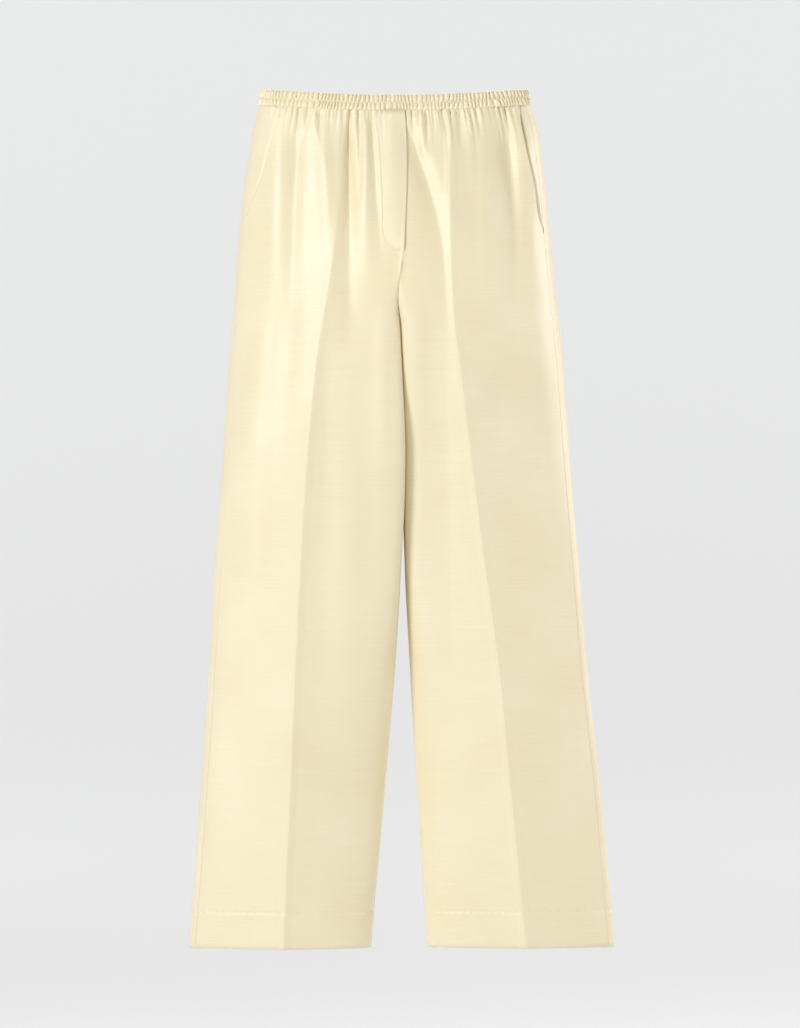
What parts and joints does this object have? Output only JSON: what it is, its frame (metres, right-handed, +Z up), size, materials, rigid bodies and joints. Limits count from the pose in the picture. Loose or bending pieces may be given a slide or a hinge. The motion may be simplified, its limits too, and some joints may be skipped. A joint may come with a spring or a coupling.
{
  "type": "wide-leg trousers",
  "caption": "Cream satin wide-leg trousers with a ruched elastic waistband, mock fly, slanted side pockets and pressed creases, filled out as worn.",
  "frame": {"origin": "middle of the waist opening, level with the sides of the waistband's top edge", "axes": "+Z up, the front faces -Y, +X is the wearer's left"},
  "size_m": [0.5282, 0.2145, 1.0602],
  "materials": {
    "satin": "fine cream satin weave with a soft sheen"
  },
  "bodies": {
    "root": {"waistband": "satin", "front_right": "satin", "front_left": "satin", "back_right": "satin", "back_left": "satin", "mock_fly": "satin", "pocket_facing_right": "satin", "pocket_facing_left": "satin"}
  },
  "joints": []
}
